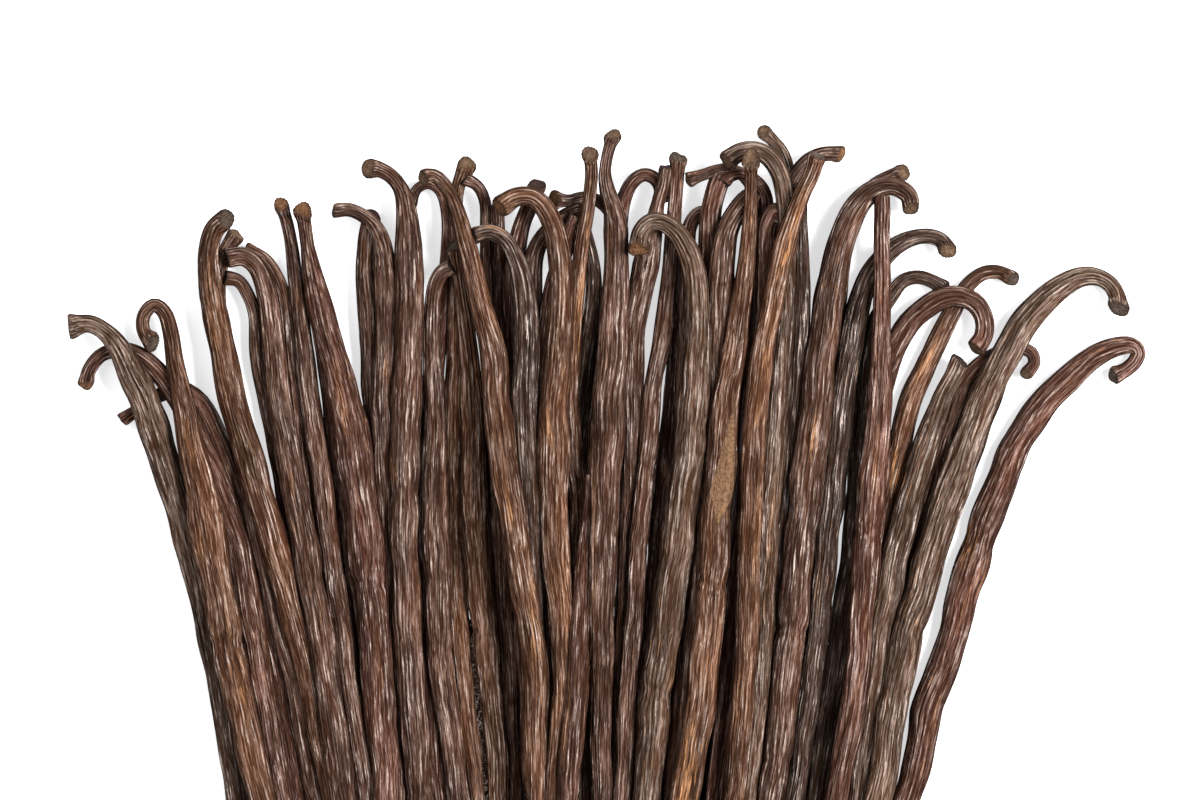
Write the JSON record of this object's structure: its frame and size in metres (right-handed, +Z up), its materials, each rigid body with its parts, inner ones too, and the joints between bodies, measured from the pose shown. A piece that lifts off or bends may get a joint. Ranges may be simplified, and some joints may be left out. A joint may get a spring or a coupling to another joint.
{
  "type": "bundle of vanilla pods",
  "caption": "Fanned bundle of dried vanilla pods lying flat, long wrinkled brown pods with hooked stem ends, overlapping in layers.",
  "frame": {"origin": "middle of the underside of the bundle's box, on the surface that the bundle lies on", "axes": "+X runs across the fan of pods, +Y runs along the pods towards their hooked stem ends, +Z is up from the surface"},
  "size_m": [0.2398, 0.185, 0.017],
  "materials": {
    "pod_skin": "dark chocolate brown cured pod skin, finely wrinkled lengthwise, with a soft oily sheen"
  },
  "bodies": {
    "root": {"pod_bundle": "pod_skin"}
  },
  "joints": []
}
